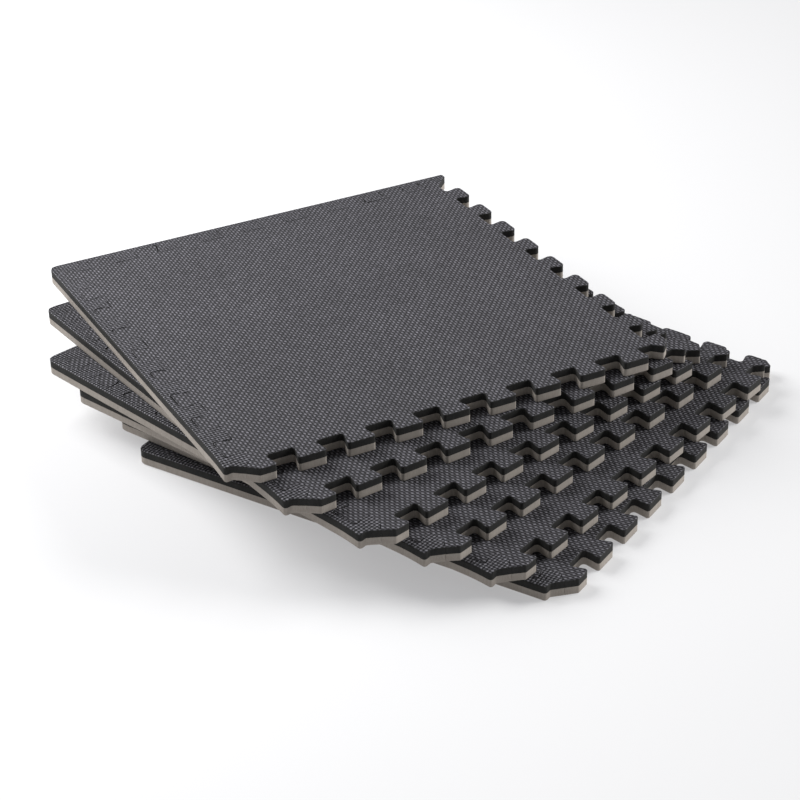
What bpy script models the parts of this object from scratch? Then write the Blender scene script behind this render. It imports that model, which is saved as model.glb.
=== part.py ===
"""Six interlocking foam blocking mats, fanned out in a pile.

Each mat is a square tile with dovetail teeth on its four sides and two border strips that fill the
teeth of its left and back sides. Tile and strips are each laminated from a charcoal face sheet and
a grey base sheet. The frame has +X along the top mat's front edge, +Y towards its back edge, and
+Z up, with the origin at the bottom centre of the whole fan's box.
"""
import math

import bmesh
import bpy
from mathutils import Vector, geometry

# Tile outline, in metres
TILE_PERIOD = 0.3048        # from one tile to the next when they are joined
TEETH_PER_SIDE = 9
TOOTH_DEPTH = 0.0127
TOOTH_ROOT_WIDTH = 0.0136
TOOTH_TIP_WIDTH = 0.0202

# Border strips
STRIP_LAND = 0.0053         # foam between the tips of the tile's teeth and the outer edge
OUTER_CORNER_RADIUS = 0.006
STRIP_END_RADIUS = 0.0025
EDGE_EASE = 0.0010          # chamfer along the outer edges

# Laminated sheets
FACE_THICKNESS = 0.0050
BASE_THICKNESS = 0.0052

# Gaps between neighbours
BOND_GAP = 0.0003           # between the two sheets of one piece
SEAM_GAP = 0.0003           # between tile and strip, and between strips
REST_GAP = 0.0003           # between one mat and the next

ARC_STEPS = 4
CAP_TOLERANCE = 1e-7

# The fan, from the bottom mat up: where each tile's front left root corner lies from the top
# mat's own, in metres, and how far the mat is turned from the top mat, in degrees
FAN = (
    {"x": 0.1424, "y": -0.1300, "turn": 29.8},
    {"x": 0.1150, "y": -0.1151, "turn": 24.1},
    {"x": 0.0836, "y": -0.0915, "turn": 21.2},
    {"x": 0.0520, "y": -0.0709, "turn": 16.7},
    {"x": 0.0225, "y": -0.0341, "turn": 7.5},
    {"x": 0.0, "y": 0.0, "turn": 0.0},
)

# Finishes: colour, roughness
CHARCOAL_FOAM = ("charcoal_foam", (0.055, 0.055, 0.062, 1.0), 0.75)
GREY_FOAM = ("grey_foam", (0.42, 0.40, 0.38, 1.0), 0.85)

# Worked out from the sizes above
PITCH = TILE_PERIOD / TEETH_PER_SIDE
ROOT_SIDE = TILE_PERIOD - TOOTH_DEPTH
FIRST_TOOTH = (PITCH / 2 - TOOTH_DEPTH) / 2
STRIP_WIDTH = TOOTH_DEPTH + STRIP_LAND
MAT_THICKNESS = BASE_THICKNESS + BOND_GAP + FACE_THICKNESS
NIB = TOOTH_DEPTH / 2


def clear_scene():
    """Remove every object that the file opened with."""
    for obj in list(bpy.data.objects):
        bpy.data.objects.remove(obj, do_unlink=True)


def make_material(finish):
    """A Principled material from a (name, colour, roughness) finish."""
    name, colour, roughness = finish
    material = bpy.data.materials.new(name)
    material.use_nodes = True
    shader = material.node_tree.nodes["Principled BSDF"]
    shader.inputs["Base Color"].default_value = colour
    shader.inputs["Roughness"].default_value = roughness
    shader.inputs["Metallic"].default_value = 0.0
    return material


def side_profile():
    """One side of the tile as (along, out) points, from one root corner to just before the next.

    The first tooth is cut at the corner: it starts as a nib that fills a quarter of the square
    left between four joined tiles.
    """
    points = [(0.0, 0.0), (-NIB, NIB), (0.0, TOOTH_DEPTH)]
    points.append((FIRST_TOOTH + TOOTH_TIP_WIDTH / 2, TOOTH_DEPTH))
    points.append((FIRST_TOOTH + TOOTH_ROOT_WIDTH / 2, 0.0))
    for tooth in range(1, TEETH_PER_SIDE):
        middle = FIRST_TOOTH + tooth * PITCH
        points.append((middle - TOOTH_ROOT_WIDTH / 2, 0.0))
        points.append((middle - TOOTH_TIP_WIDTH / 2, TOOTH_DEPTH))
        points.append((middle + TOOTH_TIP_WIDTH / 2, TOOTH_DEPTH))
        points.append((middle + TOOTH_ROOT_WIDTH / 2, 0.0))
    return points


def tile_side(quarter_turns):
    """The side profile placed on the front (0), right (1), back (2) or left (3) of the tile."""
    centre = ROOT_SIDE / 2
    placed = []
    for along, out in side_profile():
        x, y = along - centre, -out - centre
        for _ in range(quarter_turns):
            x, y = -y, x
        placed.append((x + centre, y + centre))
    return placed


def tile_outline():
    """The tile's closed outline, counter-clockwise from its front left root corner."""
    return [point for turns in range(4) for point in tile_side(turns)]


def arc(centre, radius, start, end):
    """Points on an arc from start to end, in degrees."""
    points = []
    for step in range(ARC_STEPS + 1):
        angle = math.radians(start + (end - start) * step / ARC_STEPS)
        points.append((centre[0] + radius * math.cos(angle), centre[1] + radius * math.sin(angle)))
    return points


def left_strip_edges():
    """The left strip's outline as (point, kind), the kind being that of the edge that follows."""
    outer = -STRIP_WIDTH
    back = ROOT_SIDE + STRIP_WIDTH
    front_arc = arc((outer + STRIP_END_RADIUS, STRIP_END_RADIUS), STRIP_END_RADIUS, 180, 270)
    corner = (outer + OUTER_CORNER_RADIUS, back - OUTER_CORNER_RADIUS)
    edges = [(point, "outer") for point in front_arc]
    edges.append(((-TOOTH_DEPTH, 0.0), "outer"))
    edges.append(((-NIB, -NIB), "seam"))
    edges.append(((0.0, 0.0), "seam"))
    edges += [(point, "seam") for point in reversed(tile_side(3)[2:])]
    edges.append(((-NIB, ROOT_SIDE + NIB), "mitre"))
    edges += [(point, "outer") for point in arc(corner, OUTER_CORNER_RADIUS, 135, 180)]
    return edges


def back_strip_edges():
    """The back strip's outline as (point, kind), the kind being that of the edge that follows."""
    outer = ROOT_SIDE + STRIP_WIDTH
    right = ROOT_SIDE + TOOTH_DEPTH
    corner = (-STRIP_WIDTH + OUTER_CORNER_RADIUS, outer - OUTER_CORNER_RADIUS)
    end = (right - STRIP_END_RADIUS, outer - STRIP_END_RADIUS)
    edges = [(point, "outer") for point in arc(corner, OUTER_CORNER_RADIUS, 90, 135)]
    edges[-1] = (edges[-1][0], "mitre")
    edges.append(((-NIB, ROOT_SIDE + NIB), "seam"))
    edges.append(((0.0, ROOT_SIDE), "seam"))
    edges += [(point, "seam") for point in reversed(tile_side(2)[2:])]
    edges.append(((ROOT_SIDE + NIB, ROOT_SIDE + NIB), "outer"))
    edges.append(((right, right), "outer"))
    edges += [(point, "outer") for point in arc(end, STRIP_END_RADIUS, 0, 90)]
    return edges


def pull_in(edges, distances):
    """Move each edge of an outline inwards by its kind's distance and meet the moved edges."""
    moved = []
    count = len(edges)
    for index, (point, kind) in enumerate(edges):
        before, before_kind = edges[index - 1]
        after = edges[(index + 1) % count][0]
        lines = []
        for start, end, distance in ((before, point, distances[before_kind]),
                                     (point, after, distances[kind])):
            length = math.dist(start, end)
            along = ((end[0] - start[0]) / length, (end[1] - start[1]) / length)
            lines.append((point[0] - along[1] * distance, point[1] + along[0] * distance, along))
        (ax, ay, u), (bx, by, v) = lines
        cross = u[0] * v[1] - u[1] * v[0]
        if abs(cross) < 1e-6:
            moved.append((ax, ay))
            continue
        run = ((bx - ax) * v[1] - (by - ay) * v[0]) / cross
        moved.append((ax + u[0] * run, ay + u[1] * run))
    return moved


def strip_outlines(edges):
    """A strip's full outline, clear of its neighbours, and the same with its outer edge eased."""
    seams = {"outer": 0.0, "seam": SEAM_GAP, "mitre": SEAM_GAP / 2}
    eased = dict(seams, outer=EDGE_EASE)
    return pull_in(edges, seams), pull_in(edges, eased)


def cap_triangles(outline):
    """Corner indexes of triangles that fill a counter-clockwise outline, without slivers."""
    corners = [Vector(point) for point in outline]
    ring = list(range(len(corners)))
    triangles = geometry.delaunay_2d_cdt(corners, [], [ring], 1, CAP_TOLERANCE)[2]
    facing_up = []
    for a, b, c in triangles:
        area = (corners[b] - corners[a]).cross(corners[c] - corners[a])
        facing_up.append((a, b, c) if area > 0 else (a, c, b))
    return facing_up


def make_sheet(name, sections, material, mat_empty):
    """A closed sheet through outlines of equal length, given as (height, outline) from below."""
    sheet = bmesh.new()
    rings = []
    for height, outline in sections:
        rings.append([sheet.verts.new((x, y, height)) for x, y in outline])
    for a, b, c in cap_triangles(sections[0][1]):
        sheet.faces.new((rings[0][a], rings[0][c], rings[0][b]))
    for a, b, c in cap_triangles(sections[-1][1]):
        sheet.faces.new((rings[-1][a], rings[-1][b], rings[-1][c]))
    for lower, upper in zip(rings, rings[1:]):
        for index, corner in enumerate(lower):
            following = (index + 1) % len(lower)
            sheet.faces.new((corner, lower[following], upper[following], upper[index]))
    mesh = bpy.data.meshes.new(name)
    sheet.to_mesh(mesh)
    sheet.free()
    mesh.materials.append(material)
    obj = bpy.data.objects.new(name, mesh)
    obj.parent = mat_empty
    bpy.context.collection.objects.link(obj)
    return obj


def make_tile(mat_name, mat_empty, charcoal, grey):
    """The tile's base and face sheets."""
    outline = tile_outline()
    face_bottom = BASE_THICKNESS + BOND_GAP
    make_sheet(mat_name + "_tile_base", [(0.0, outline), (BASE_THICKNESS, outline)], grey, mat_empty)
    make_sheet(mat_name + "_tile_face", [(face_bottom, outline), (MAT_THICKNESS, outline)],
               charcoal, mat_empty)


def make_strip(strip_name, edges, mat_empty, charcoal, grey):
    """A border strip's base and face sheets."""
    full, eased = strip_outlines(edges)
    face_bottom = BASE_THICKNESS + BOND_GAP
    base_sections = [(0.0, eased), (EDGE_EASE, full), (BASE_THICKNESS, full)]
    face_sections = [(face_bottom, full), (MAT_THICKNESS - EDGE_EASE, full), (MAT_THICKNESS, eased)]
    make_sheet(strip_name + "_base", base_sections, grey, mat_empty)
    make_sheet(strip_name + "_face", face_sections, charcoal, mat_empty)


def fan_centre():
    """The middle of the box around all the mats, from the top mat's front left root corner."""
    outline = tile_outline()
    outline += [point for point, _ in left_strip_edges() + back_strip_edges()]
    xs = []
    ys = []
    for place in FAN:
        turn = math.radians(place["turn"])
        for x, y in outline:
            xs.append(place["x"] + x * math.cos(turn) - y * math.sin(turn))
            ys.append(place["y"] + x * math.sin(turn) + y * math.cos(turn))
    return (min(xs) + max(xs)) / 2, (min(ys) + max(ys)) / 2


def make_mat(number, place, centre, charcoal, grey):
    """One mat on its own empty, whose origin is the tile's front left root corner."""
    mat_name = f"mat_{number}"
    mat_empty = bpy.data.objects.new(mat_name + "_origin", None)
    bpy.context.collection.objects.link(mat_empty)
    height = (number - 1) * (MAT_THICKNESS + REST_GAP)
    mat_empty.location = (place["x"] - centre[0], place["y"] - centre[1], height)
    mat_empty.rotation_euler = (0.0, 0.0, math.radians(place["turn"]))
    make_tile(mat_name, mat_empty, charcoal, grey)
    make_strip(mat_name + "_left_strip", left_strip_edges(), mat_empty, charcoal, grey)
    make_strip(mat_name + "_back_strip", back_strip_edges(), mat_empty, charcoal, grey)


def main():
    """Build the fan from the bottom mat up."""
    clear_scene()
    charcoal = make_material(CHARCOAL_FOAM)
    grey = make_material(GREY_FOAM)
    centre = fan_centre()
    for number, place in enumerate(FAN, start=1):
        make_mat(number, place, centre, charcoal, grey)


main()
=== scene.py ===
"""Looks for six interlocking foam blocking mats, fanned out in a pile.

Every mat is a square tile with dovetail teeth and two border strips, each laminated from an
embossed charcoal face sheet and a grey base sheet. All sizes are in metres, in the row frame:
+X along the top mat's front edge, +Y towards its back edge and +Z up.
"""

import logging  # noqa: E402
import math  # noqa: E402
from dataclasses import dataclass, field  # noqa: E402
from enum import Enum  # noqa: E402

import bpy  # noqa: E402
import numpy as np  # noqa: E402
from mathutils import Matrix, Vector, geometry, noise  # noqa: E402

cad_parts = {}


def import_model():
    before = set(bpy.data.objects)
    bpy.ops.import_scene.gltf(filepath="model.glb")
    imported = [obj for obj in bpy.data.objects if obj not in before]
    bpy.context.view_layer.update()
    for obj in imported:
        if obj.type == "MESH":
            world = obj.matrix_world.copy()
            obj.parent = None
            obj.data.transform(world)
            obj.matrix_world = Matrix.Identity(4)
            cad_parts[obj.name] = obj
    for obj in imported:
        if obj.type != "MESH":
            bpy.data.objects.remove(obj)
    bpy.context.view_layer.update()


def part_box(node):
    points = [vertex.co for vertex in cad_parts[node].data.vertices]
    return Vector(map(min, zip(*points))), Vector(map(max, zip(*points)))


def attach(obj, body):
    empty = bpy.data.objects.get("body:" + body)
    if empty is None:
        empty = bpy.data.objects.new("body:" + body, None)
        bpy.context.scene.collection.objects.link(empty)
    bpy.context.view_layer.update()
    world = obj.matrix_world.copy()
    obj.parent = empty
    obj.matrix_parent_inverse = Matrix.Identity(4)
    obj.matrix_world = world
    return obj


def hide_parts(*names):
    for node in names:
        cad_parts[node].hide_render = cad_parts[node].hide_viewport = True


LOG = logging.getLogger("blocking_mats")
MAT_PLACE = "mat_place"
MM = 0.001
TOP_MAT = 6
RIM_RING = 0.3 * MM
CLOUD_SPAN = (0.3, 0.7)
WELD = 1e-7
MIX_FIRST, MIX_SECOND, MIX_RESULT = 6, 7, 2
Socket = bpy.types.NodeSocket
SHARP_ANGLE = math.radians(50)


class EdgeKind(Enum):
    """What an edge of a foam outline is, which settles its rounding and its clearance."""

    CUT = "cut"
    OUTER = "outer"
    SEAM = "seam"
    MITRE = "mitre"


class Zone(Enum):
    """A zone of a foam sheet's surface, numbered by the material slot that it wears."""

    SKIN = 0
    WALL = 1


@dataclass(frozen=True)
class Corner:
    """A corner of an outline before it is rounded.

    Attributes:
        x: Its place along X.
        y: Its place along Y.
        radius: How far it is rounded.
        kind: The kind of the edge that follows it.
    """

    x: float
    y: float
    radius: float
    kind: EdgeKind


@dataclass(frozen=True)
class Graph:
    """A small helper that lays out the nodes of one material."""

    material: bpy.types.Material

    @classmethod
    def new(cls, name: str) -> "Graph":
        """The graph of a new material."""
        material = bpy.data.materials.new(name)
        material.use_nodes = True
        return cls(material)

    @property
    def tree(self) -> bpy.types.NodeTree:
        """The material's node tree."""
        return self.material.node_tree

    @property
    def shader(self) -> bpy.types.Node:
        """The material's Principled shader."""
        return self.tree.nodes["Principled BSDF"]

    def add(self, kind: str) -> bpy.types.Node:
        """Add a shader node."""
        return self.tree.nodes.new(kind)

    def link(self, source: Socket, target: Socket) -> None:
        """Join an output to an input."""
        self.tree.links.new(source, target)

    def feed(self, socket: Socket, value: object) -> None:
        """Give an input a link if value is an output, or else a plain value.

        Args:
            socket: The input.
            value: An output socket, a number or a tuple of numbers.
        """
        if isinstance(value, Socket):
            self.link(value, socket)
        else:
            socket.default_value = value

    def math(self, operation: str, *operands: object) -> Socket:
        """Add a Math node.

        Args:
            operation: The node's operation.
            operands: Its operands, outputs or numbers.

        Returns:
            The node's output.
        """
        node = self.add("ShaderNodeMath")
        node.operation = operation
        for socket, operand in zip(node.inputs, operands):
            self.feed(socket, operand)
        return node.outputs[0]

    def moved(self, place: Socket, waves: float, by: float, origin: Socket) -> Socket:
        """Move a place by a three-valued cloud.

        Args:
            place: Where the cloud is read.
            waves: The cloud's waves per metre.
            by: How far it moves the place.
            origin: The place that is moved.

        Returns:
            The moved place.
        """
        node = self.add("ShaderNodeVectorMath")
        node.operation = "MULTIPLY_ADD"
        self.link(self.cloud(place, waves, 1.0, colour=True), node.inputs[0])
        node.inputs[1].default_value = (by,) * 3
        self.link(origin, node.inputs[2])
        return node.outputs[0]

    def own_place(self) -> Socket:
        """The place of each point in the axes of its own mat."""
        node = self.add("ShaderNodeAttribute")
        node.attribute_name = MAT_PLACE
        return node.outputs["Vector"]

    def stretched(self, vector: Socket, by: tuple) -> Socket:
        """Scale a vector along its three axes."""
        node = self.add("ShaderNodeVectorMath")
        node.operation = "MULTIPLY"
        self.link(vector, node.inputs[0])
        node.inputs[1].default_value = by
        return node.outputs[0]

    def cloud(self, vector: Socket, scale: float, detail: float = 2.0,
              colour: bool = False) -> Socket:
        """Add a Noise texture.

        Args:
            vector: Where it is read.
            scale: Waves per metre.
            detail: Finer layers that it adds.
            colour: Whether the three-valued output is wanted.

        Returns:
            The noise, from 0 to 1.
        """
        node = self.add("ShaderNodeTexNoise")
        node.inputs["Scale"].default_value = scale
        node.inputs["Detail"].default_value = detail
        self.link(vector, node.inputs["Vector"])
        return node.outputs["Color" if colour else "Fac"]

    def span(self, value: Socket, low: float, high: float, to_low: float,
             to_high: float, smooth: bool = False) -> Socket:
        """Map a value from one range to another, held at both ends.

        Args:
            value: The value.
            low: Where the range that it comes from starts.
            high: Where that range ends.
            to_low: What low becomes.
            to_high: What high becomes.
            smooth: Whether the ends ease in and out.

        Returns:
            The mapped value.
        """
        node = self.add("ShaderNodeMapRange")
        node.interpolation_type = "SMOOTHSTEP" if smooth else "LINEAR"
        self.link(value, node.inputs["Value"])
        for name, number in (("From Min", low), ("From Max", high),
                             ("To Min", to_low), ("To Max", to_high)):
            node.inputs[name].default_value = number
        return node.outputs["Result"]

    def ramp(self, value: Socket, stops: tuple) -> Socket:
        """Add a Color Ramp.

        Args:
            value: What is looked up in it.
            stops: Its stops as (place, (red, green, blue)).

        Returns:
            The colour.
        """
        node = self.add("ShaderNodeValToRGB")
        elements = node.color_ramp.elements
        while len(elements) < len(stops):
            elements.new(0.5)
        for element, (place, colour) in zip(elements, stops):
            element.position = place
            element.color = (*colour, 1.0)
        self.link(value, node.inputs["Fac"])
        return node.outputs["Color"]

    def scaled(self, colour: Socket, by: Socket) -> Socket:
        """Multiply a colour by a value."""
        node = self.add("ShaderNodeVectorMath")
        node.operation = "SCALE"
        self.link(colour, node.inputs[0])
        self.link(by, node.inputs["Scale"])
        return node.outputs[0]

    def bump(self, height: Socket, strength: float, distance: float,
             under: object = None) -> Socket:
        """Add a Bump node.

        Args:
            height: The height, from 0 to 1.
            strength: How strongly it tilts the surface.
            distance: The height of 1, in metres.
            under: Another Bump node's output that this one adds to.

        Returns:
            The tilted normal.
        """
        node = self.add("ShaderNodeBump")
        node.inputs["Strength"].default_value = strength
        node.inputs["Distance"].default_value = distance
        self.link(height, node.inputs["Height"])
        if under is not None:
            self.link(under, node.inputs["Normal"])
        return node.outputs["Normal"]


@dataclass(frozen=True)
class EmbossedFoam:
    """The skin of a face sheet: rows of raised oval grains, each row shifted by half a grain.

    Attributes:
        name: The material's name.
        row_pitch: From one row of grains to the one after next, along X.
        grain_pitch: From one grain to the next in a row, along Y.
        relief: How far the grains stand up.
        shaded_groove: Colour between the grains, darkened as painted shade in the hollows.
        flank: Colour half way up a grain.
        crest: Colour on top of a grain, lightened in part as a painted highlight.
        wander: How far the rows wander from their straight lines.
        row_share: Share of the straight rows in the relief.
        stagger_share: Share of the shift from row to row.
        half_share: Share of the finer wave along the rows.
        slant_and_shade_share: Share of the grains' slant, in the relief and, as painted shade from
            the back-left lamp, in the colour.
        crest_span: Lattice heights where a grain starts and where its flat crest is reached.
        flank_at: Where on that way up the flank's colour is.
        drift_waves: Waves per metre of the rows' slow wander.
        jitter_waves: Waves per metre of their quick wander.
        each_waves: Waves per metre of the difference between grains.
        each_tone: Darkest and lightest grain, as shares of the colour.
        each_height: Lowest and highest grain, as shares of the relief.
        patch_waves: Waves per metre of the large patches.
        patch_tone: Darkest and lightest patch, as shares of the colour.
        roughness: Between the grains and on top of them.
        pore_waves: Waves per metre of the skin's pores.
        pore_depth: How deep they are.
        gloss: Specular level.
    """

    name: str
    shaded_groove: tuple
    flank: tuple
    crest: tuple
    row_pitch: float = 4.34 * MM
    grain_pitch: float = 4.65 * MM
    relief: float = 0.9 * MM
    wander: float = 0.45 * MM
    row_share: float = 0.38
    stagger_share: float = 0.40
    half_share: float = 0.17
    slant_and_shade_share: float = 0.05
    crest_span: tuple = (-0.60, 0.75)
    flank_at: float = 0.55
    drift_waves: float = 60.0
    jitter_waves: float = 420.0
    each_waves: float = 330.0
    each_tone: tuple = (0.72, 1.22)
    each_height: tuple = (0.8, 1.1)
    patch_waves: float = 14.0
    patch_tone: tuple = (0.93, 1.08)
    roughness: tuple = (0.85, 0.52)
    pore_waves: float = 2600.0
    pore_depth: float = 0.08 * MM
    gloss: float = 0.3

    def grain(self, graph: Graph, place: Socket) -> Socket:
        """The staggered lattice of oval grains.

        Args:
            graph: The material's graph.
            place: Where it is read.

        Returns:
            Its height, from about -0.7 between grains to 1 on top of them.
        """
        parts = graph.add("ShaderNodeSeparateXYZ")
        graph.link(place, parts.inputs[0])
        across = graph.math("MULTIPLY", parts.outputs["X"], 2 * math.pi / self.row_pitch)
        along = graph.math("MULTIPLY", parts.outputs["Y"], 2 * math.pi / self.grain_pitch)
        rows = graph.math("COSINE", graph.math("MULTIPLY", across, 2.0))
        halves = graph.math("COSINE", graph.math("MULTIPLY", along, 2.0))
        stagger = graph.math("MULTIPLY", graph.math("COSINE", across),
                             graph.math("COSINE", along))
        height = graph.math("MULTIPLY", rows, self.row_share)
        # The slant tilts the grains a little in the relief. In the colour it is painted shade, the
        # diagonal shading that the back-left lamp would cast over them.
        slant = graph.math("COSINE", graph.math("SUBTRACT", across, along))
        for wave, share in ((stagger, self.stagger_share), (halves, self.half_share),
                            (slant, self.slant_and_shade_share)):
            height = graph.math("ADD", height, graph.math("MULTIPLY", wave, share))
        return height

    def make(self) -> bpy.types.Material:
        """Build the material."""
        graph = Graph.new(self.name)
        place = graph.own_place()
        drift = graph.moved(place, self.drift_waves, self.wander, place)
        grain = self.grain(graph, graph.moved(place, self.jitter_waves, self.wander, drift))
        crest = graph.span(grain, *self.crest_span, 0.0, 1.0, smooth=True)
        each = graph.cloud(place, self.each_waves, 1.0)
        uneven = graph.span(each, *CLOUD_SPAN, *self.each_tone)
        patch = graph.span(graph.cloud(place, self.patch_waves), *CLOUD_SPAN, *self.patch_tone)
        # Painted shade and highlight: the colour runs from nearly black between the grains to
        # light on their crests, standing in for the shade in the hollows and the light on the
        # tops.
        tone = graph.ramp(crest, ((0.0, self.shaded_groove), (self.flank_at, self.flank),
                                  (1.0, self.crest)))
        toned = graph.scaled(tone, graph.math("MULTIPLY", uneven, patch))
        graph.link(toned, graph.shader.inputs["Base Color"])
        graph.link(graph.span(crest, 0.0, 1.0, *self.roughness), graph.shader.inputs["Roughness"])
        graph.shader.inputs["Specular IOR Level"].default_value = self.gloss
        pores = graph.bump(graph.cloud(place, self.pore_waves, 3.0), 0.25, self.pore_depth)
        height = graph.math("MULTIPLY", crest, graph.span(each, *CLOUD_SPAN, *self.each_height))
        graph.link(graph.bump(height, 1.0, self.relief, under=pores),
                   graph.shader.inputs["Normal"])
        return graph.material


@dataclass(frozen=True)
class CutFoam:
    """Foam where the die has cut it: fine closed cells, drawn out a little along the cut.

    Attributes:
        name: The material's name.
        dark: Colour in the cells.
        light: Colour of the cell walls.
        rim_highlight: Colour of a painted highlight along the cut's upper edge.
        rim_height: Where that edge is, from the mat's underside, or 0 for none.
        highlight_depth: How far down the painted highlight reaches.
        rim_waves: Waves per metre of its ragged end.
        cell_waves: Waves per metre of the cells.
        drawn_waves: Waves per metre of the cells that the die has drawn out.
        drawn_out: How those are stretched along the three axes.
        patch_waves: Waves per metre of the large patches.
        shares: Shares of the cells, the drawn cells and the patches.
        tone_span: Where between them the dark colour ends and the light one starts.
        cell_depth: How deep the cells are.
        roughness: Surface roughness.
        gloss: Specular level.
    """

    name: str
    dark: tuple
    light: tuple
    rim_highlight: tuple = (0.0, 0.0, 0.0)
    rim_height: float = 0.0
    highlight_depth: float = 0.9 * MM
    rim_waves: float = 520.0
    cell_waves: float = 1500.0
    drawn_waves: float = 900.0
    drawn_out: tuple = (1.0, 1.0, 0.22)
    patch_waves: float = 70.0
    shares: tuple = (0.35, 0.35, 0.30)
    tone_span: tuple = (0.35, 0.65)
    cell_depth: float = 0.12 * MM
    roughness: float = 0.85
    gloss: float = 0.25

    def painted_rim_highlight(self, graph: Graph, place: Socket, tone: Socket) -> Socket:
        """Paint a highlight over the cut's upper edge, further down at some grains than others.

        Args:
            graph: The material's graph.
            place: Where the finish is read.
            tone: The cut foam's colour.

        Returns:
            The colour with the painted highlight.
        """
        parts = graph.add("ShaderNodeSeparateXYZ")
        graph.link(place, parts.inputs[0])
        ragged = graph.span(graph.cloud(place, self.rim_waves, 1.0), *self.tone_span, 0.15, 1.0)
        reach = graph.math("MULTIPLY", ragged, self.highlight_depth)
        up = graph.math("SUBTRACT", parts.outputs["Z"], self.rim_height)
        highlight_share = graph.math("ADD", graph.math("DIVIDE", up, reach), 1.0)
        mix = graph.add("ShaderNodeMix")
        mix.data_type = "RGBA"
        graph.link(graph.span(highlight_share, 0.0, 0.9, 0.0, 1.0), mix.inputs["Factor"])
        graph.link(tone, mix.inputs[MIX_FIRST])
        mix.inputs[MIX_SECOND].default_value = (*self.rim_highlight, 1.0)
        return mix.outputs[MIX_RESULT]

    def make(self) -> bpy.types.Material:
        """Build the material."""
        graph = Graph.new(self.name)
        place = graph.own_place()
        cells = graph.cloud(place, self.cell_waves, 3.0)
        drawn = graph.cloud(graph.stretched(place, self.drawn_out), self.drawn_waves)
        patch = graph.math("MULTIPLY", graph.cloud(place, self.patch_waves), self.shares[2])
        coarse = graph.math("MULTIPLY_ADD", drawn, self.shares[1], patch)
        mixed = graph.math("MULTIPLY_ADD", cells, self.shares[0], coarse)
        tone = graph.ramp(mixed, ((self.tone_span[0], self.dark), (self.tone_span[1], self.light)))
        # Painted highlight: a lighter band along the cut's upper edge, ragged at its lower end.
        if self.rim_height:
            tone = self.painted_rim_highlight(graph, place, tone)
        graph.link(tone, graph.shader.inputs["Base Color"])
        graph.shader.inputs["Roughness"].default_value = self.roughness
        graph.shader.inputs["Specular IOR Level"].default_value = self.gloss
        graph.link(graph.bump(mixed, 0.6, self.cell_depth), graph.shader.inputs["Normal"])
        return graph.material


@dataclass(frozen=True)
class Finishes:
    """The materials that the mats are dressed in."""

    charcoal_skin: bpy.types.Material
    strip_skin: bpy.types.Material
    charcoal_cut: bpy.types.Material
    grey_skin: bpy.types.Material
    grey_cut: bpy.types.Material

    @classmethod
    def mixed(cls) -> "Finishes":
        """Make all of them."""
        return cls(
            # Painted reflection: the face skins' bluish tint stands in for the pale sky reflected
            # in the foam's sheen.
            charcoal_skin=EmbossedFoam("charcoal_skin", shaded_groove=(0.0095, 0.0092, 0.011),
                                       flank=(0.063, 0.061, 0.0705),
                                       crest=(0.176, 0.171, 0.194)).make(),
            strip_skin=EmbossedFoam("strip_skin", shaded_groove=(0.0075, 0.0072, 0.0090),
                                    flank=(0.060, 0.0583, 0.0675),
                                    crest=(0.188, 0.183, 0.207), relief=1.1 * MM,
                                    row_share=0.34, stagger_share=0.18,
                                    half_share=0.40, wander=0.75 * MM).make(),
            # The charcoal cut walls carry a painted highlight along their upper edge, at
            # rim_height.
            charcoal_cut=CutFoam("charcoal_cut", dark=(0.012, 0.012, 0.0115),
                                 light=(0.026, 0.0258, 0.0245), rim_highlight=(0.090, 0.088, 0.096),
                                 rim_height=10.5 * MM).make(),
            grey_skin=EmbossedFoam("grey_skin", shaded_groove=(0.24, 0.217, 0.192),
                                   flank=(0.30, 0.270, 0.240), crest=(0.36, 0.327, 0.290)).make(),
            grey_cut=CutFoam("grey_cut", dark=(0.280, 0.251, 0.223),
                             light=(0.380, 0.343, 0.306)).make(),
        )


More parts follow.
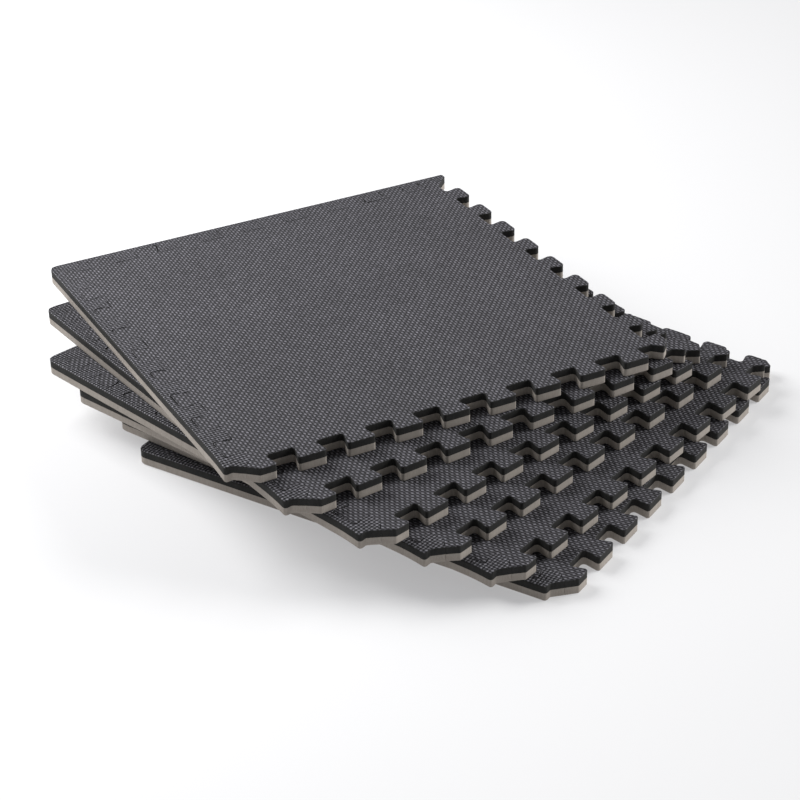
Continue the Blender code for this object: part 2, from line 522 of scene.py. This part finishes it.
@dataclass(frozen=True)
class ToothForm:
    """The dovetail teeth of a tile's sides and the corners where four tiles meet.

    Attributes:
        period: From one tile to the next when they are joined.
        count: Teeth on a side.
        depth: How far a tooth stands out.
        root_width: A tooth's width where it starts.
        tip_width: Its width at its tip.
        tip_radius: Rounding of a tip's corners.
        worn_radius: That rounding on the right side, which is worn.
        root_radius: Rounding of the corners between teeth.
        nib_radius: Rounding of the point at a tile's corner.
        join_radius: Rounding of that point where it meets a strip end to end.
    """

    period: float = 304.8 * MM
    count: int = 9
    depth: float = 12.7 * MM
    root_width: float = 13.6 * MM
    tip_width: float = 20.2 * MM
    tip_radius: float = 1.7 * MM
    worn_radius: float = 3.4 * MM
    root_radius: float = 2.3 * MM
    nib_radius: float = 1.6 * MM
    join_radius: float = 0.0

    @property
    def pitch(self) -> float:
        """From one tooth to the next."""
        return self.period / self.count

    @property
    def root_side(self) -> float:
        """A side of the square through the roots."""
        return self.period - self.depth

    @property
    def nib(self) -> float:
        """How far the point at a tile's corner stands out of the root square."""
        return self.depth / 2

    def side(self, turns: int, start: EdgeKind, rest: EdgeKind) -> list:
        """The corners of one side, counter-clockwise, about the tile's centre.

        Args:
            turns: Quarter turns from the front side.
            start: The kind of the edge from the root corner to the nib.
            rest: The kind of the edges after the nib.

        Returns:
            The corners.
        """
        first = (self.pitch / 2 - self.depth) / 2
        tip, root = self.tip_width / 2, self.root_width / 2
        point = self.nib_radius if start is rest else self.join_radius
        tip_radius = self.worn_radius if turns == 1 else self.tip_radius
        marks = [(0.0, 0.0, self.nib_radius, start), (-self.nib, self.nib, point, rest),
                 (0.0, self.depth, self.nib_radius, rest),
                 (first + tip, self.depth, tip_radius, rest),
                 (first + root, 0.0, self.root_radius, rest)]
        for tooth in range(1, self.count):
            middle = first + tooth * self.pitch
            marks += [(middle - root, 0.0, self.root_radius, rest),
                      (middle - tip, self.depth, tip_radius, rest),
                      (middle + tip, self.depth, tip_radius, rest),
                      (middle + root, 0.0, self.root_radius, rest)]
        half = self.root_side / 2
        corners = []
        for along, out, radius, kind in marks:
            x, y = along - half, -out - half
            for _ in range(turns):
                x, y = -y, x
            corners.append(Corner(x, y, radius, kind))
        return corners

    def tile(self) -> list:
        """A tile's corners: its front and right sides are free, and strips fill the others."""
        cut, seam = EdgeKind.CUT, EdgeKind.SEAM
        return (self.side(0, seam, cut) + self.side(1, cut, cut)
                + self.side(2, cut, seam) + self.side(3, seam, seam))


@dataclass(frozen=True)
class BorderForm:
    """The two border strips that square off a tile's left and back sides.

    Attributes:
        teeth: The tile's teeth, which the strips fill.
        land: Foam between the tips of the tile's teeth and the outer edge.
        corner_radius: Rounding of the mat's outer corner, where the strips meet in a mitre.
        end_radius: Rounding of the strips' free ends.
        arc_steps: Straight runs along half of the outer corner.
    """

    teeth: ToothForm
    land: float = 5.3 * MM
    corner_radius: float = 7.0 * MM
    end_radius: float = 2.5 * MM
    arc_steps: int = 4

    @property
    def width(self) -> float:
        """A strip's full width, teeth included."""
        return self.teeth.depth + self.land

    def outer_arc(self, start: float, end: float) -> list:
        """Corners along the mat's outer corner.

        Args:
            start: Where the arc starts, in degrees.
            end: Where it ends.

        Returns:
            The corners.
        """
        edge = self.teeth.root_side / 2 + self.width - self.corner_radius
        corners = []
        for step in range(self.arc_steps + 1):
            angle = math.radians(start + (end - start) * step / self.arc_steps)
            corners.append(Corner(-edge + self.corner_radius * math.cos(angle),
                                  edge + self.corner_radius * math.sin(angle), 0.0,
                                  EdgeKind.OUTER))
        return corners

    def seam(self, turns: int) -> list:
        """A tile side's corners from its last tooth back to its first, for the strip beside it."""
        side = self.teeth.side(turns, EdgeKind.SEAM, EdgeKind.SEAM)
        return list(reversed(side[2:]))

    def left(self) -> list:
        """The left strip's corners, counter-clockwise from its free end."""
        t, half = self.teeth, self.teeth.root_side / 2
        return [
            Corner(-half - self.width, -half, self.end_radius, EdgeKind.CUT),
            Corner(-half - t.depth, -half, t.nib_radius, EdgeKind.CUT),
            Corner(-half - t.nib, -half - t.nib, t.join_radius, EdgeKind.SEAM),
            Corner(-half, -half, t.nib_radius, EdgeKind.SEAM),
            *self.seam(3),
            Corner(-half - t.nib, half + t.nib, 0.0, EdgeKind.MITRE),
            *self.outer_arc(135, 180),
        ]

    def back(self) -> list:
        """The back strip's corners, counter-clockwise from the mat's outer corner."""
        t, half = self.teeth, self.teeth.root_side / 2
        arc = self.outer_arc(90, 135)
        joint = Corner(arc[-1].x, arc[-1].y, 0.0, EdgeKind.MITRE)
        return [
            *arc[:-1], joint,
            Corner(-half - t.nib, half + t.nib, t.nib_radius, EdgeKind.SEAM),
            Corner(-half, half, t.nib_radius, EdgeKind.SEAM),
            *self.seam(2),
            Corner(half + t.nib, half + t.nib, t.join_radius, EdgeKind.CUT),
            Corner(half + t.depth, half + t.depth, t.nib_radius, EdgeKind.CUT),
            Corner(half + t.depth, half + self.width, self.end_radius, EdgeKind.OUTER),
        ]


@dataclass
class Contour:
    """A rounded outline with, at every point, its outward normal, rounding and clearance.

    Attributes:
        points: Its points, counter-clockwise.
        normals: The outward normal at each point, longer at corners.
        ease: How far the sheet's edge is rounded at each point.
        clearance: How far each point is pulled in from the neighbouring piece.
        opened: How far a face sheet is pulled in besides, where its seam has opened.
        inner: Points spread over the inside.
        triangles: Triangles over the outline's points and then the inner ones.
    """

    points: np.ndarray
    normals: np.ndarray
    ease: np.ndarray
    clearance: np.ndarray
    opened: np.ndarray
    inner: np.ndarray = field(default_factory=lambda: np.zeros((0, 2)))
    triangles: list = field(default_factory=list)

    def moved_in(self, distance: np.ndarray) -> np.ndarray:
        """The points moved inwards by a distance at each."""
        return self.points - self.normals * distance[:, None]


@dataclass(frozen=True)
class Cutter:
    """Turns corners into rounded contours.

    Attributes:
        run: Longest straight run between two points.
        arc_step: Largest turn between two points, in degrees.
        sharp_turn: Smallest turn that is rounded, in degrees.
        longest_cut: Longest share of a straight edge that a rounded corner takes.
        arc_limit: Most rounding over the edge at a rounded corner, as a share of its radius.
        longest_normal: Least cosine that lengthens the normals at sharp corners.
        ease_slope: How fast the rounding over the edge changes along the outline.
        opening: How far a seam has opened where it has opened most.
        opening_waves: How often it opens and closes, per metre.
        opening_span: Noise at which it starts to open, and at which it has opened most.
        opening_slope: How fast it opens along the seam.
        grid: Spacing of the points inside.
        margin: How near the edge those points come.
        ease: Rounding of each kind of edge.
    """

    run: float = 4.5 * MM
    arc_step: float = 15.0
    sharp_turn: float = 2.0
    longest_cut: float = 0.48
    arc_limit: float = 0.8
    longest_normal: float = 0.6
    ease_slope: float = 0.35
    opening: float = 0.80 * MM
    opening_waves: float = 62.0
    opening_span: tuple = (0.04, 0.34)
    opening_slope: float = 0.25
    grid: float = 8.0 * MM
    margin: float = 2.6 * MM
    ease: dict = field(default_factory=lambda: {
        EdgeKind.CUT: 0.60 * MM, EdgeKind.OUTER: 1.40 * MM,
        EdgeKind.SEAM: 0.34 * MM, EdgeKind.MITRE: 0.34 * MM})

    def trace(self, corners: list) -> list:
        """Round every corner and divide every straight edge.

        Args:
            corners: The outline's corners, counter-clockwise.

        Returns:
            Its points as (x, y, kind of the edge that follows, most rounding allowed).
        """
        arcs = []
        count = len(corners)
        for index, corner in enumerate(corners):
            last, following = corners[index - 1], corners[(index + 1) % count]
            here = np.array((corner.x, corner.y))
            back = np.array((last.x, last.y)) - here
            ahead = np.array((following.x, following.y)) - here
            before, kind = last.kind, corner.kind
            reach_back, reach_ahead = np.linalg.norm(back), np.linalg.norm(ahead)
            back, ahead = back / reach_back, ahead / reach_ahead
            turn = math.pi - math.acos(max(-1.0, min(1.0, float(back @ ahead))))
            if corner.radius == 0.0 or turn < math.radians(self.sharp_turn):
                arcs.append([(here[0], here[1], kind, 1.0)])
                continue
            cut = corner.radius * math.tan(turn / 2)
            cut = min(cut, self.longest_cut * reach_back, self.longest_cut * reach_ahead)
            radius = cut / math.tan(turn / 2)
            convex = (-back[0]) * ahead[1] - (-back[1]) * ahead[0] > 0
            middle = (back + ahead) / np.linalg.norm(back + ahead)
            centre = here + middle * (radius / math.cos(turn / 2))
            start = here + back * cut - centre
            first = math.atan2(start[1], start[0])
            steps = max(2, math.ceil(math.degrees(turn) / self.arc_step))
            sweep = turn if convex else -turn
            limit = self.arc_limit * radius if convex else 1.0
            arc = []
            for step in range(steps + 1):
                angle = first + sweep * step / steps
                arc.append((centre[0] + radius * math.cos(angle),
                            centre[1] + radius * math.sin(angle),
                            kind if 2 * step >= steps else before, limit))
            arcs.append(arc)
        traced = []
        for index, arc in enumerate(arcs):
            traced += arc
            end, start = arc[-1], arcs[(index + 1) % count][0]
            length = math.dist(end[:2], start[:2])
            pieces = max(1, math.ceil(length / self.run))
            for piece in range(1, pieces):
                share = piece / pieces
                traced.append((end[0] + (start[0] - end[0]) * share,
                               end[1] + (start[1] - end[1]) * share, arc[-1][2], 1.0))
        return traced

    @staticmethod
    def held(values: np.ndarray, points: np.ndarray, slope: float) -> np.ndarray:
        """Lower values so that none climbs too fast along the outline.

        Args:
            values: A value at each point.
            points: The outline's points.
            slope: The fastest climb.

        Returns:
            The lowered values.
        """
        result = values.copy()
        steps = np.linalg.norm(np.roll(points, -1, 0) - points, axis=1)
        count = len(result)
        for index in list(range(count)) * 2:
            after = (index + 1) % count
            result[after] = min(result[after], result[index] + slope * steps[index])
        for index in list(range(count - 1, -1, -1)) * 2:
            after = (index + 1) % count
            result[index] = min(result[index], result[after] + slope * steps[index])
        return result

    def contour(self, corners: list, clearance: dict) -> Contour:
        """A contour from an outline's corners.

        Args:
            corners: The outline's corners, counter-clockwise.
            clearance: How far each kind of edge is pulled in, where it is.

        Returns:
            The contour, with points and triangles over its inside.
        """
        traced = self.trace(corners)
        points = np.array([mark[:2] for mark in traced])
        kinds = [mark[2] for mark in traced]
        along = np.roll(points, -1, 0) - points
        along /= np.linalg.norm(along, axis=1)[:, None]
        out = np.column_stack([along[:, 1], -along[:, 0]])
        both = out + np.roll(out, 1, 0)
        both /= np.linalg.norm(both, axis=1)[:, None]
        lean = np.clip((both * out).sum(1), self.longest_normal, 1.0)
        normals = both / lean[:, None]
        pairs = list(zip(kinds, kinds[-1:] + kinds[:-1]))
        ease = np.array([min(self.ease[kind], self.ease[before], mark[3])
                         for (kind, before), mark in zip(pairs, traced)])
        ease = self.held(ease, points, self.ease_slope)
        gap = np.array([max(clearance.get(kind, 0.0), clearance.get(before, 0.0))
                        for kind, before in pairs])
        seam = np.array([kind is before is EdgeKind.SEAM for kind, before in pairs])
        worked = np.array([noise.noise(Vector((x, y, 0.0)) * self.opening_waves)
                           for x, y in points])
        shut, full = self.opening_span
        share = np.clip((worked - shut) / (full - shut), 0.0, 1.0)
        opened = self.held(np.where(seam, share * self.opening, 0.0), points, self.opening_slope)
        if not clearance:
            opened = np.zeros(len(points))
        made = Contour(points, normals, ease, gap, opened)
        self.fill(made)
        return made

    def fill(self, contour: Contour) -> None:
        """Spread points over the inside of a contour and join them in triangles."""
        ring = contour.moved_in(contour.clearance + contour.opened + contour.ease + RIM_RING)
        low, high = ring.min(0), ring.max(0)
        xs = np.arange(low[0] + self.grid / 2, high[0], self.grid)
        ys = np.arange(low[1] + self.grid / 2, high[1], self.grid)
        grid = np.array([(x, y) for x in xs for y in ys])
        after = np.roll(ring, -1, 0)
        inside = np.zeros(len(grid), bool)
        for (x0, y0), (x1, y1) in zip(ring, after):
            crosses = (y0 > grid[:, 1]) != (y1 > grid[:, 1])
            if crosses.any():
                at = x0 + (grid[:, 1] - y0) / (y1 - y0 if y1 != y0 else 1.0) * (x1 - x0)
                inside ^= crosses & (grid[:, 0] < at)
        grid = grid[inside]
        near = np.array([np.hypot(*(ring - spot).T).min() for spot in grid])
        contour.inner = grid[near > self.margin]
        corners = [Vector(spot) for spot in np.vstack([ring, contour.inner])]
        found = geometry.delaunay_2d_cdt(corners, [], [list(range(len(ring)))], 1, WELD)
        places, faces, origins = found[0], found[2], found[3]
        if len(places) != len(corners):
            raise ValueError("an outline crosses itself")
        for face in faces:
            a, b, c = (origins[index][0] for index in face)
            turned = (corners[b] - corners[a]).cross(corners[c] - corners[a])
            contour.triangles.append((a, b, c) if turned > 0 else (a, c, b))


@dataclass(frozen=True)
class Sheet:
    """One foam sheet: a contour with a height, its edges rounded above, below or not at all.

    Attributes:
        low: Its underside's height over its mat's underside.
        high: Its upper side's height.
        round_above: Whether its upper edge is rounded.
        round_below: Whether its lower edge is rounded.
        arc_steps: Straight runs over a rounded edge.
        skin_from: The first of them that has the skin's texture.
        below_share: A lower edge's rounding as a share of an upper one's.
        wall_shares: Heights of the wall's rings, as shares of the wall.
        waist: How far the cut draws the wall in at its middle.
        waist_waves: Waves per metre of its unevenness.
        waist_rough: That unevenness as a share of it.
        opening_rise: How fast a seam opens over a face sheet's height.
    """

    low: float
    high: float
    round_above: bool
    round_below: bool
    arc_steps: int = 4
    skin_from: int = 2
    below_share: float = 0.5
    wall_shares: tuple = (0.0, 0.3, 0.7, 1.0)
    waist: float = 0.07 * MM
    waist_waves: float = 160.0
    waist_rough: float = 0.6
    opening_rise: float = 2.5

    def levels(self, contour: Contour, seed: float) -> list:
        """The rings of the sheet.

        Args:
            contour: Its outline.
            seed: Where in the noise its wall is read.

        Returns:
            The rings from below as (height, distance in, zone of the band above).
        """
        zero = np.zeros(len(contour.points))
        rings = []
        if self.round_below:
            ease = contour.ease * self.below_share
            rings.append((zero + self.low, ease + RIM_RING, Zone.SKIN))
            for step in range(self.arc_steps):
                angle = math.pi / 2 * (1 - step / self.arc_steps)
                rings.append((self.low + ease * (1 - math.sin(angle)),
                              ease * (1 - math.cos(angle)), Zone.WALL))
            foot = self.low + ease
        else:
            foot = zero + self.low
        head = self.high - contour.ease if self.round_above else zero + self.high
        waves = self.waist_waves
        for share in self.wall_shares:
            rough = np.array([noise.noise(Vector((x * waves, y * waves, share * 3 + seed)))
                              for x, y in contour.points])
            drawn = self.waist * (4 * share * (1 - share)) * (1 + self.waist_rough * rough)
            rings.append((foot + (head - foot) * share, zero + drawn, Zone.WALL))
        if self.round_above:
            ease = contour.ease
            for step in range(1, self.arc_steps + 1):
                angle = math.pi / 2 * step / self.arc_steps
                zone = Zone.SKIN if step >= self.skin_from else Zone.WALL
                rings.append((self.high - ease * (1 - math.sin(angle)),
                              ease * (1 - math.cos(angle)), zone))
            rings.append((zero + self.high, ease + RIM_RING, Zone.SKIN))
        opened = contour.opened if self.round_above else zero
        rise = self.opening_rise / (self.high - self.low)
        return [(height, inset + contour.clearance
                 + opened * np.clip(rise * (height - self.low), 0.0, 1.0), zone)
                for height, inset, zone in rings]

    def mesh(self, name: str, contour: Contour, seed: float) -> bpy.types.Mesh:
        """The sheet's closed mesh.

        Args:
            name: The mesh's name.
            contour: Its outline.
            seed: Where in the noise its wall is read.

        Returns:
            The mesh, in the axes of its mat.
        """
        levels = self.levels(contour, seed)
        count, inner = len(contour.points), len(contour.inner)
        rows = [np.column_stack([contour.moved_in(inset), height]) for height, inset, _ in levels]
        for height in (self.low, self.high):
            rows.append(np.column_stack([contour.inner, np.full(inner, height)]))
        faces, zones = [], []
        for band, (_, _, zone) in enumerate(levels[:-1]):
            base = band * count
            for index in range(count):
                after = (index + 1) % count
                faces.append((base + index, base + after, base + count + after,
                              base + count + index))
                zones.append(zone)
        last, spare = (len(levels) - 1) * count, len(levels) * count

        def lower(index: int) -> int:
            """A contour point's number on the underside."""
            return index if index < count else spare + index - count

        def upper(index: int) -> int:
            """A contour point's number on the upper side."""
            return last + index if index < count else spare + inner + index - count

        for a, b, c in contour.triangles:
            faces.append((lower(a), lower(c), lower(b)))
            faces.append((upper(a), upper(b), upper(c)))
            zones += [Zone.SKIN, Zone.SKIN]
        mesh = bpy.data.meshes.new(name)
        mesh.from_pydata(np.vstack(rows).tolist(), [], faces)
        mesh.polygons.foreach_set("material_index", [zone.value for zone in zones])
        mesh.polygons.foreach_set("use_smooth", [True] * len(faces))
        mesh.set_sharp_from_angle(angle=SHARP_ANGLE)
        mesh.update()
        return mesh


@dataclass(frozen=True)
class Curl:
    """A corner of a mat that has bent up or down.

    Attributes:
        x: Its place along X from the tile's centre, in the mat's own axes.
        y: Its place along Y.
        reach: How far in the bend starts.
        rise: How far the corner has moved up.
    """

    x: float
    y: float
    reach: float
    rise: float

    def height(self, x: np.ndarray, y: np.ndarray) -> np.ndarray:
        """How far points have moved up."""
        share = np.clip(1 - np.hypot(x - self.x, y - self.y) / self.reach, 0, 1)
        return self.rise * share**2


@dataclass
class Mat:
    """One blocking mat: a tile and two border strips, each with a face and a base sheet.

    Attributes:
        number: Its place in the pile, from the bottom.
        turn: How far it is turned from the top mat, in degrees.
        curls: Its bent corners.
        base_high: Where the grey sheet ends, from the mat's underside.
        face_low: Where the charcoal sheet starts.
    """

    number: int
    turn: float
    curls: tuple = ()
    base_high: float = 5.28 * MM
    face_low: float = 5.30 * MM

    @property
    def name(self) -> str:
        """The mat's name, which its CAD nodes start with."""
        return f"mat_{self.number}"

    def matrix(self) -> Matrix:
        """From the mat's own axes, about its tile's centre, to the row frame."""
        low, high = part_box(f"{self.name}_tile_base")
        place = Matrix.Translation(((low.x + high.x) / 2, (low.y + high.y) / 2, low.z))
        return place @ Matrix.Rotation(math.radians(self.turn), 4, "Z")

    def body(self, part: str) -> str:
        """The CAD body that a part of the mat rides on."""
        loose = self.number == TOP_MAT and part != "tile"
        return f"{self.name}_{part}" if loose else self.name

    def settle(self, mesh: bpy.types.Mesh) -> None:
        """Note each point's place in the mat, then bend the mesh and move it to the pile.

        Args:
            mesh: A piece's mesh, in the axes of its mat.
        """
        points = np.zeros(len(mesh.vertices) * 3)
        mesh.vertices.foreach_get("co", points)
        mesh.attributes.new(MAT_PLACE, "FLOAT_VECTOR", "POINT").data.foreach_set("vector", points)
        points = points.reshape(-1, 3)
        for curl in self.curls:
            points[:, 2] += curl.height(points[:, 0], points[:, 1])
        mesh.vertices.foreach_set("co", points.ravel())
        mesh.transform(self.matrix())
        mesh.update()

    def build(self, contours: dict, finishes: Finishes) -> list:
        """Build, dress and place the mat's six pieces.

        Args:
            contours: The contours of its parts by name.
            finishes: The materials.

        Returns:
            The pieces.
        """
        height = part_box(f"{self.name}_tile_face")[1].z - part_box(f"{self.name}_tile_base")[0].z
        pieces = []
        for part, contour in contours.items():
            skin = finishes.charcoal_skin if part == "tile" else finishes.strip_skin
            layers = {
                "base": (Sheet(0.0, self.base_high, round_above=False, round_below=True),
                         "grey_foam", (finishes.grey_skin, finishes.grey_cut)),
                "face": (Sheet(self.face_low, height, round_above=True, round_below=False),
                         "charcoal_foam", (skin, finishes.charcoal_cut)),
            }
            for layer, (sheet, slot, materials) in layers.items():
                node = f"{self.name}_{part}_{layer}"
                mesh = sheet.mesh(f"foam_{node}", contour, self.number * 7.0 + len(part))
                self.settle(mesh)
                for material in materials:
                    mesh.materials.append(material)
                piece = bpy.data.objects.new(f"foam_{node}", mesh)
                bpy.context.scene.collection.objects.link(piece)
                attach(piece, self.body(part))
                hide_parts(node)
                pieces.append(piece)
                LOG.info("%s: %d faces", piece.name, len(mesh.polygons))
        return pieces


@dataclass
class Fan:
    """The pile of six mats, turned step by step.

    Attributes:
        turns: How far each mat is turned from the top one, in degrees, from the bottom up.
        teeth: The teeth of the tiles.
        cutter: What rounds the outlines.
        seam_gap: How far a strip stays clear of its tile.
        droop: How the front left corner hangs over the mat below.
    """

    turns: tuple = (29.8, 24.1, 21.2, 16.7, 7.5, 0.0)
    teeth: ToothForm = field(default_factory=ToothForm)
    cutter: Cutter = field(default_factory=Cutter)
    seam_gap: float = 0.04 * MM
    droop: Curl = Curl(x=-164.0 * MM, y=-146.0 * MM, reach=21.0 * MM, rise=-1.6 * MM)

    def contours(self) -> dict:
        """The contours of a mat's three parts."""
        border = BorderForm(self.teeth)
        clear = {EdgeKind.SEAM: self.seam_gap, EdgeKind.MITRE: self.seam_gap / 2}
        return {
            "tile": self.cutter.contour(self.teeth.tile(), {}),
            "left_strip": self.cutter.contour(border.left(), clear),
            "back_strip": self.cutter.contour(border.back(), clear),
        }

    def build(self, finishes: Finishes) -> list:
        """Build every mat from the bottom up."""
        contours = self.contours()
        pieces = []
        for number, turn in enumerate(self.turns, start=1):
            curls = (self.droop,) if number > 1 else ()
            pieces += Mat(number, turn, curls).build(contours, finishes)
        return pieces


@dataclass(frozen=True)
class Studio:
    """A plain pale floor, soft lamps and the camera.

    Attributes:
        floor_side: The floor's side.
        camera_place: Where the camera stands.
        azimuth: Which way it looks round the object, in degrees.
        elevation: How far it looks down.
        roll: How far it leans.
        lens: Its focal length, in millimetres, on a sensor 36 mm wide.
    """

    floor_side: float = 24.0
    camera_place: tuple = (-0.6077, -1.1112, 0.7501)
    azimuth: float = -27.51
    elevation: float = 30.24
    roll: float = -1.08
    lens: float = 96.1

    def floor(self) -> None:
        """Lay the floor."""
        half = self.floor_side / 2
        mesh = bpy.data.meshes.new("floor")
        mesh.from_pydata([(-half, -half, 0), (half, -half, 0), (half, half, 0), (-half, half, 0)],
                         [], [(0, 1, 2, 3)])
        graph = Graph.new("pale_floor")
        for name, value in (("Base Color", (0.52, 0.52, 0.523, 1.0)), ("Roughness", 1.0),
                            ("Specular IOR Level", 0.0),
                            ("Emission Color", (0.98, 0.98, 1.0, 1.0)),
                            ("Emission Strength", 0.37)):
            graph.shader.inputs[name].default_value = value
        mesh.materials.append(graph.material)
        floor = bpy.data.objects.new("floor", mesh)
        floor.location.z = -0.3 * MM
        bpy.context.scene.collection.objects.link(floor)

    @staticmethod
    def hang(light: bpy.types.Light, place: tuple, towards: tuple) -> None:
        """Put a light in its place, shining from a direction."""
        lamp = bpy.data.objects.new(light.name, light)
        lamp.location = place
        lamp.rotation_mode = "QUATERNION"
        lamp.rotation_quaternion = Vector(towards).to_track_quat("Z", "Y")
        bpy.context.scene.collection.objects.link(lamp)

    def lamp(self, name: str, towards: tuple, strength: float, softness: float,
             colour: tuple) -> None:
        """Add a soft far lamp.

        Args:
            name: The lamp's name.
            towards: The direction from the object to the lamp.
            strength: Its light, in watts per square metre.
            softness: How wide it looks, in degrees.
            colour: Its colour.
        """
        light = bpy.data.lights.new(name, "SUN")
        light.energy = strength
        light.angle = math.radians(softness)
        light.color = colour
        self.hang(light, (0.0, 0.0, 0.0), towards)

    def box(self, name: str, place: tuple, side: float, power: float, colour: tuple) -> None:
        """Add a soft box that faces the object.

        Args:
            name: The box's name.
            place: Where its middle is.
            side: Its side.
            power: Its power, in watts.
            colour: Its colour.
        """
        light = bpy.data.lights.new(name, "AREA")
        light.shape = "SQUARE"
        light.size = side
        light.energy = power
        light.color = colour
        self.hang(light, place, place)

    def lights(self) -> None:
        """Set the lamps and the pale surroundings."""
        self.lamp("right_lamp", towards=(1.0, -0.18, 0.42), strength=3.4, softness=35.0,
                  colour=(1.0, 0.995, 0.985))
        self.box("left_box", place=(-0.60, 0.78, 0.80), side=0.9, power=22.0,
                 colour=(1.0, 1.0, 1.0))
        world = bpy.data.worlds.new("surroundings")
        world.use_nodes = True
        sky = world.node_tree.nodes["Background"]
        sky.inputs["Color"].default_value = (0.97, 0.98, 1.0, 1.0)
        sky.inputs["Strength"].default_value = 0.20
        bpy.context.scene.world = world

    def camera(self) -> None:
        """Set the camera."""
        azimuth, elevation = math.radians(self.azimuth), math.radians(self.elevation)
        look = Vector((-math.sin(azimuth) * math.cos(elevation),
                       math.cos(azimuth) * math.cos(elevation), -math.sin(elevation)))
        data = bpy.data.cameras.new("camera")
        data.lens = self.lens
        data.sensor_width = 36.0
        camera = bpy.data.objects.new("camera", data)
        upright = look.to_track_quat("-Z", "Y").to_matrix().to_4x4()
        leant = upright @ Matrix.Rotation(math.radians(self.roll), 4, "Z")
        camera.matrix_world = Matrix.Translation(self.camera_place) @ leant
        bpy.context.scene.collection.objects.link(camera)
        bpy.context.scene.camera = camera

    def build(self) -> None:
        """Set up everything around the object."""
        bpy.context.scene.view_settings.view_transform = "Standard"
        self.floor()
        self.lights()
        self.camera()


def main() -> None:
    """Load the frame, build the mats around it and note how many pieces there are."""
    logging.basicConfig(level=logging.INFO, format="%(name)s: %(message)s")
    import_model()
    pieces = Fan().build(Finishes.mixed())
    Studio().build()
    LOG.info("%d pieces", len(pieces))


if __name__ == "__main__":
    main()
